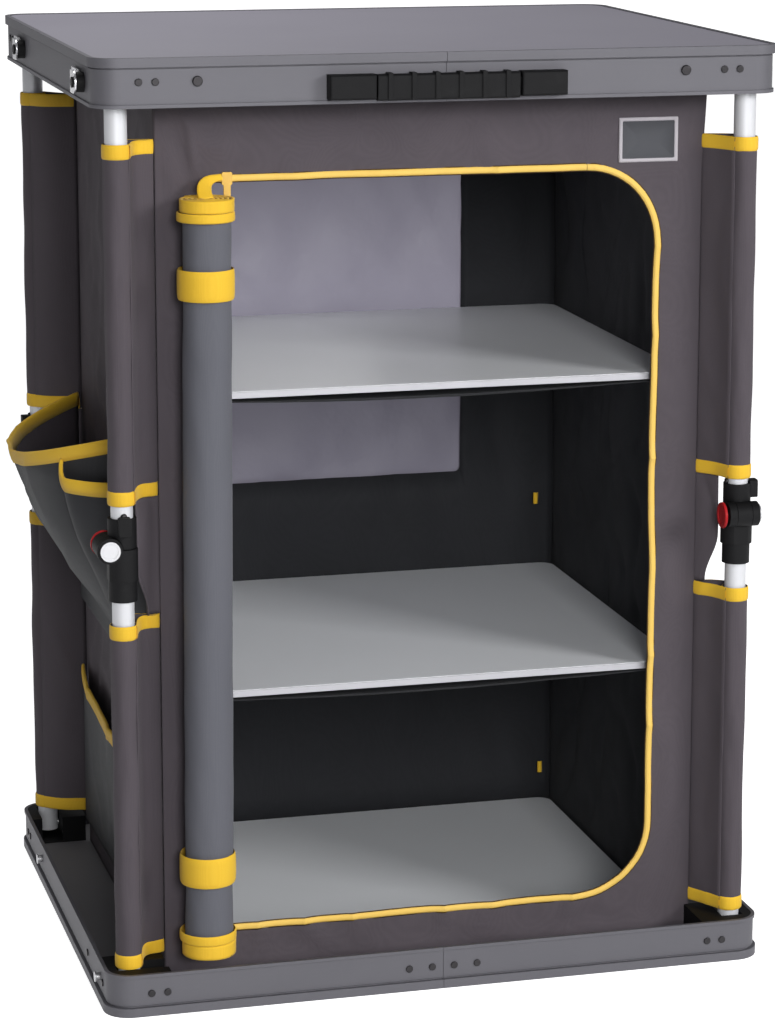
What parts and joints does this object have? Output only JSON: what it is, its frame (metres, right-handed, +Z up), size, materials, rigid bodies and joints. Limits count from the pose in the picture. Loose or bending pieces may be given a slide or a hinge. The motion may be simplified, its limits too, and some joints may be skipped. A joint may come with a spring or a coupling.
{
  "type": "camping cupboard",
  "caption": "Folding camping cupboard: a table-top tray on folding legs over a floor tray, with a hanging cloth cabinet, shelves, a zipped doorway and side pockets.",
  "frame": {"origin": "centre of the two trays' rectangle, on the ground under the bottom tray's rim", "axes": "+Z up, +X to the right of a person who faces the doorway, -Y towards that person"},
  "size_m": [0.6246, 0.5205, 0.825],
  "materials": {
    "frame": "grey anodised extrusion, satin",
    "board": "board faced in greyish purple laminate",
    "floor": "board faced in grey laminate",
    "shelf": "board faced in light grey laminate",
    "edging": "bright aluminium angle",
    "tube": "satin aluminium tube",
    "splice": "plain aluminium",
    "rivet": "steel",
    "black_plastic": "black moulded plastic",
    "red_plastic": "red moulded plastic",
    "axle": "turned steel",
    "latch": "bright plated steel",
    "cloth": "dark grey-brown woven cloth",
    "lining": "grey coated inner face of the cloth",
    "yellow_tape": "yellow zip tape",
    "window": "soft translucent film",
    "slider": "black painted zip slider"
  },
  "bodies": {
    "base": {"bottom_frame_left": "frame", "bottom_frame_right": "frame", "bottom_splice_plates": "splice", "bottom_frame_rivets": "rivet", "floor_panel": "floor", "bottom_corner_blocks": "black_plastic", "bottom_pivot_pins": "axle", "latch_studs": "axle", "floor_shelf": "shelf", "cabinet_cloth": "cloth", "back_window": "window", "door_zip": "yellow_tape", "door_roll": "lining", "door_straps": "yellow_tape", "leg_sleeves": "cloth", "side_pockets": "cloth"},
    "lower_leg_front_left": {"lower_tube_front_left": "tube", "knee_fork_front_left": "black_plastic", "knee_axle_front_left": "axle"},
    "upper_leg_front_left": {"upper_tube_front_left": "tube", "knee_tongue_front_left": "black_plastic"},
    "button_front_left": {"release_button_front_left": "red_plastic"},
    "lower_leg_front_right": {"lower_tube_front_right": "tube", "knee_fork_front_right": "black_plastic", "knee_axle_front_right": "axle"},
    "upper_leg_front_right": {"upper_tube_front_right": "tube", "knee_tongue_front_right": "black_plastic"},
    "button_front_right": {"release_button_front_right": "red_plastic"},
    "lower_leg_rear_right": {"lower_tube_rear_right": "tube", "knee_fork_rear_right": "black_plastic", "knee_axle_rear_right": "axle"},
    "upper_leg_rear_right": {"upper_tube_rear_right": "tube", "knee_tongue_rear_right": "black_plastic"},
    "button_rear_right": {"release_button_rear_right": "red_plastic"},
    "lower_leg_rear_left": {"lower_tube_rear_left": "tube", "knee_fork_rear_left": "black_plastic", "knee_axle_rear_left": "axle"},
    "upper_leg_rear_left": {"upper_tube_rear_left": "tube", "knee_tongue_rear_left": "black_plastic"},
    "button_rear_left": {"release_button_rear_left": "red_plastic"},
    "top_tray": {"top_frame_left": "frame", "top_frame_right": "frame", "top_splice_plates": "splice", "top_frame_rivets": "rivet", "table_board": "board", "top_corner_blocks": "black_plastic", "top_pivot_pins": "axle", "handle_end_caps": "black_plastic", "latch_bosses": "black_plastic"},
    "handle": {"handle_grip": "black_plastic"},
    "latch_front_left": {"latch_plate_front_left": "latch"},
    "latch_rear_left": {"latch_plate_rear_left": "latch"},
    "latch_front_right": {"latch_plate_front_right": "latch"},
    "latch_rear_right": {"latch_plate_rear_right": "latch"},
    "middle_shelf": {"middle_shelf": "shelf", "middle_shelf_edging": "edging"},
    "top_shelf": {"top_shelf": "shelf", "top_shelf_edging": "edging"},
    "zip_run": {"zip_top_run": "yellow_tape"},
    "zip_slider": {"zip_slider": "slider"}
  },
  "joints": [
    {"name": "lower_leg_fold_front_left", "type": "hinge", "parent": "base", "child": "lower_leg_front_left", "pos_m": [-0.276, -0.227, 0.025], "axis": [0, 1, 0], "range_deg": [0, 90], "deforming": ["cabinet_cloth", "back_window", "door_zip", "door_roll", "door_straps", "leg_sleeves", "side_pockets"]},
    {"name": "knee_fold_front_left", "type": "hinge", "parent": "lower_leg_front_left", "child": "upper_leg_front_left", "pos_m": [-0.28875, -0.227, 0.4105], "axis": [0, 1, 0], "range_deg": [-180, 0]},
    {"name": "button_press_front_left", "type": "slide", "parent": "lower_leg_front_left", "child": "button_front_left", "axis": [0, -1, 0], "range_m": [0, 0.0025], "stiffness_N_per_m": 600},
    {"name": "lower_leg_fold_front_right", "type": "hinge", "parent": "base", "child": "lower_leg_front_right", "pos_m": [0.276, -0.227, 0.025], "axis": [-1, 0, 0], "range_deg": [0, 90]},
    {"name": "knee_fold_front_right", "type": "hinge", "parent": "lower_leg_front_right", "child": "upper_leg_front_right", "pos_m": [0.276, -0.23975, 0.4105], "axis": [-1, 0, 0], "range_deg": [-180, 0]},
    {"name": "button_press_front_right", "type": "slide", "parent": "lower_leg_front_right", "child": "button_front_right", "axis": [1, 0, 0], "range_m": [0, 0.0025], "stiffness_N_per_m": 600},
    {"name": "lower_leg_fold_rear_right", "type": "hinge", "parent": "base", "child": "lower_leg_rear_right", "pos_m": [0.276, 0.227, 0.025], "axis": [0, -1, 0], "range_deg": [0, 90]},
    {"name": "knee_fold_rear_right", "type": "hinge", "parent": "lower_leg_rear_right", "child": "upper_leg_rear_right", "pos_m": [0.28875, 0.227, 0.4105], "axis": [0, -1, 0], "range_deg": [-180, 0]},
    {"name": "button_press_rear_right", "type": "slide", "parent": "lower_leg_rear_right", "child": "button_rear_right", "axis": [0, 1, 0], "range_m": [0, 0.0025], "stiffness_N_per_m": 600},
    {"name": "lower_leg_fold_rear_left", "type": "hinge", "parent": "base", "child": "lower_leg_rear_left", "pos_m": [-0.276, 0.227, 0.025], "axis": [1, 0, 0], "range_deg": [0, 90]},
    {"name": "knee_fold_rear_left", "type": "hinge", "parent": "lower_leg_rear_left", "child": "upper_leg_rear_left", "pos_m": [-0.276, 0.23975, 0.4105], "axis": [1, 0, 0], "range_deg": [-180, 0]},
    {"name": "button_press_rear_left", "type": "slide", "parent": "lower_leg_rear_left", "child": "button_rear_left", "axis": [-1, 0, 0], "range_m": [0, 0.0025], "stiffness_N_per_m": 600},
    {"name": "tray_fold", "type": "hinge", "parent": "upper_leg_front_left", "child": "top_tray", "pos_m": [-0.276, -0.227, 0.796], "axis": [0, 1, 0], "range_deg": [0, 90]},
    {"name": "middle_shelf_drop", "type": "slide", "parent": "base", "child": "middle_shelf", "axis": [0, 0, -1], "range_m": [0, 0.2412]},
    {"name": "top_shelf_stack", "type": "slide", "parent": "top_tray", "child": "top_shelf", "axis": [0, 0, 1], "range_m": [0, 0.2473]},
    {"name": "zip_run_drop", "type": "slide", "parent": "base", "child": "zip_run", "axis": [0, 0, -1], "range_m": [0, 0.6565]},
    {"name": "zip_slide", "type": "slide", "parent": "zip_run", "child": "zip_slider", "axis": [1, 0, 0], "range_m": [0, 0.31]},
    {"name": "handle_pull", "type": "slide", "parent": "top_tray", "child": "handle", "axis": [0, -1, 0], "range_m": [0, 0.006]},
    {"name": "latch_turn_front_left", "type": "hinge", "parent": "top_tray", "child": "latch_front_left", "pos_m": [-0.2975, -0.2, 0.8015], "axis": [1, 0, 0], "range_deg": [-90, 0]},
    {"name": "latch_turn_rear_left", "type": "hinge", "parent": "top_tray", "child": "latch_rear_left", "pos_m": [-0.2975, 0.13, 0.8015], "axis": [1, 0, 0], "range_deg": [-90, 0]},
    {"name": "latch_turn_front_right", "type": "hinge", "parent": "top_tray", "child": "latch_front_right", "pos_m": [0.2975, -0.2, 0.8015], "axis": [1, 0, 0], "range_deg": [-90, 0]},
    {"name": "latch_turn_rear_right", "type": "hinge", "parent": "top_tray", "child": "latch_rear_right", "pos_m": [0.2975, 0.13, 0.8015], "axis": [1, 0, 0], "range_deg": [-90, 0]}
  ],
  "couplings": [
    {"joint": "knee_fold_front_left", "follows": "lower_leg_fold_front_left", "ratio": -2},
    {"joint": "lower_leg_fold_front_right", "follows": "lower_leg_fold_front_left", "ratio": 1},
    {"joint": "knee_fold_front_right", "follows": "lower_leg_fold_front_left", "ratio": -2},
    {"joint": "lower_leg_fold_rear_right", "follows": "lower_leg_fold_front_left", "ratio": 1},
    {"joint": "knee_fold_rear_right", "follows": "lower_leg_fold_front_left", "ratio": -2},
    {"joint": "lower_leg_fold_rear_left", "follows": "lower_leg_fold_front_left", "ratio": 1},
    {"joint": "knee_fold_rear_left", "follows": "lower_leg_fold_front_left", "ratio": -2},
    {"joint": "tray_fold", "follows": "lower_leg_fold_front_left", "ratio": 1},
    {"joint": "middle_shelf_drop", "follows": "lower_leg_fold_front_left", "m_per_rad": 0.15355},
    {"joint": "top_shelf_stack", "follows": "lower_leg_fold_front_left", "m_per_rad": 0.15743},
    {"joint": "zip_run_drop", "follows": "lower_leg_fold_front_left", "m_per_rad": 0.41794}
  ]
}
